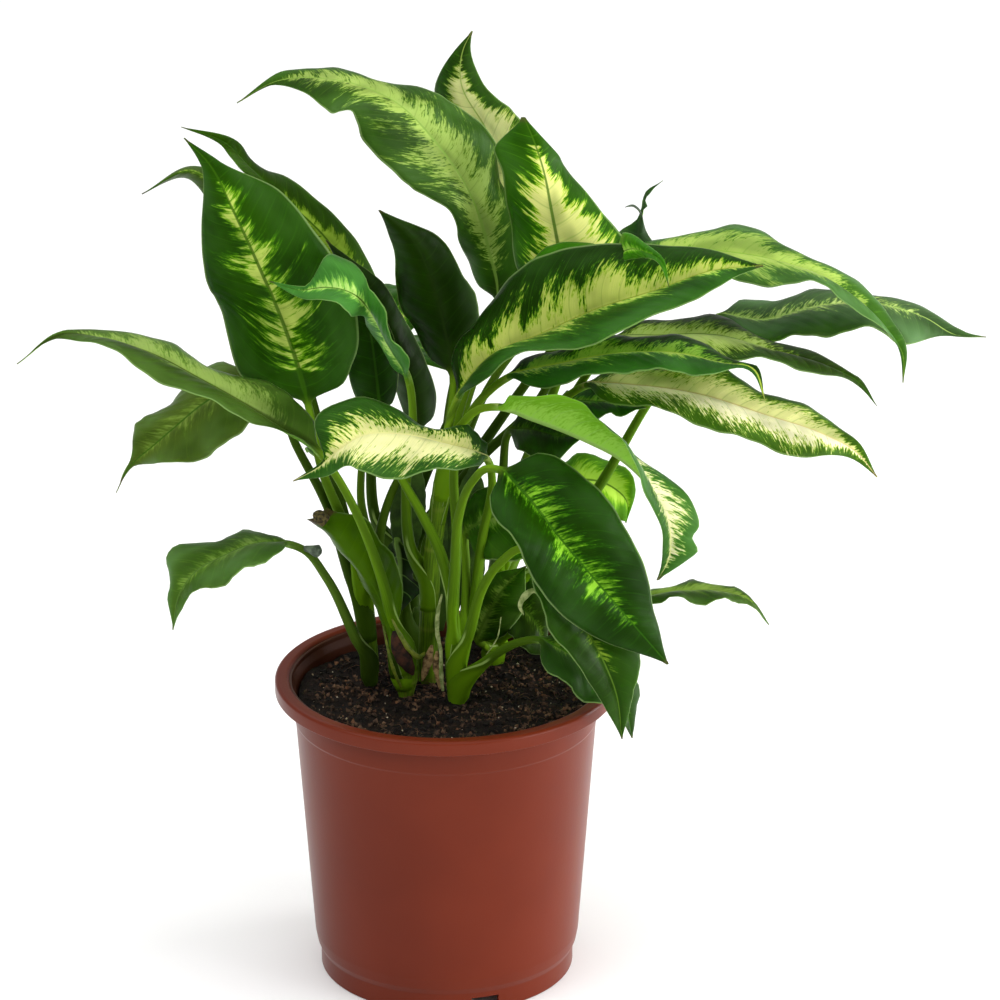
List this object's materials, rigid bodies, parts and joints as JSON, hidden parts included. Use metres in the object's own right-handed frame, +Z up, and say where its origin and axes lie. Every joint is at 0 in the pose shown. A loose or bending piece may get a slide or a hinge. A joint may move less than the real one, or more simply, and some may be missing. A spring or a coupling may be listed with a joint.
{
  "type": "potted plant",
  "caption": "Bushy dieffenbachia with broad cream-centred green leaves on upright stalks, in soil in a tapering terracotta-coloured plastic pot.",
  "frame": {"origin": "middle of the pot's base, on the plane it stands on", "axes": "+Z up along the pot's axis; the front of the plant, as pictured, faces -Y"},
  "size_m": [0.4719, 0.2951, 0.4684],
  "materials": {
    "pot": "satin moulded plastic",
    "soil": null,
    "cane": null,
    "leaf": null
  },
  "bodies": {
    "root": {"pot": "pot", "soil": "soil", "cane_left": "cane", "cane_middle_left": "cane", "cane_middle": "cane", "cane_middle_right": "cane", "cane_right": "cane", "cane_back": "cane", "leaf_arching_left": "leaf", "leaf_top": "leaf", "leaf_upright": "leaf", "leaf_dark_centre": "leaf", "leaf_sweeping_right": "leaf", "leaf_curled_tip": "leaf", "leaf_young": "leaf", "leaf_long_right": "leaf", "leaf_far_right": "leaf", "leaf_right_upper": "leaf", "leaf_right_middle": "leaf", "leaf_right_lower": "leaf", "leaf_twisted": "leaf", "leaf_front": "leaf", "leaf_over_rim": "leaf", "leaf_on_rim": "leaf", "leaf_low_right": "leaf", "leaf_left_upright": "leaf", "leaf_left_behind": "leaf", "leaf_curled_left": "leaf", "leaf_narrow_left": "leaf", "leaf_folded_left": "leaf", "leaf_inner_left": "leaf", "leaf_far_left": "leaf", "leaf_front_centre": "leaf", "leaf_left_drooping": "leaf", "leaf_low_left": "leaf", "sheath_cut": "leaf", "leaf_right_inner": "leaf", "leaf_right_hidden": "leaf", "leaf_shaded_front": "leaf", "leaf_shaded_back": "leaf", "leaf_shaded_low": "leaf", "leaf_shaded_right": "leaf", "leaf_shaded_middle": "leaf", "leaf_back_right": "leaf", "leaf_back_left": "leaf", "leaf_back_middle": "leaf", "leaf_back_low_left": "leaf", "leaf_back_low_right": "leaf"}
  },
  "joints": []
}
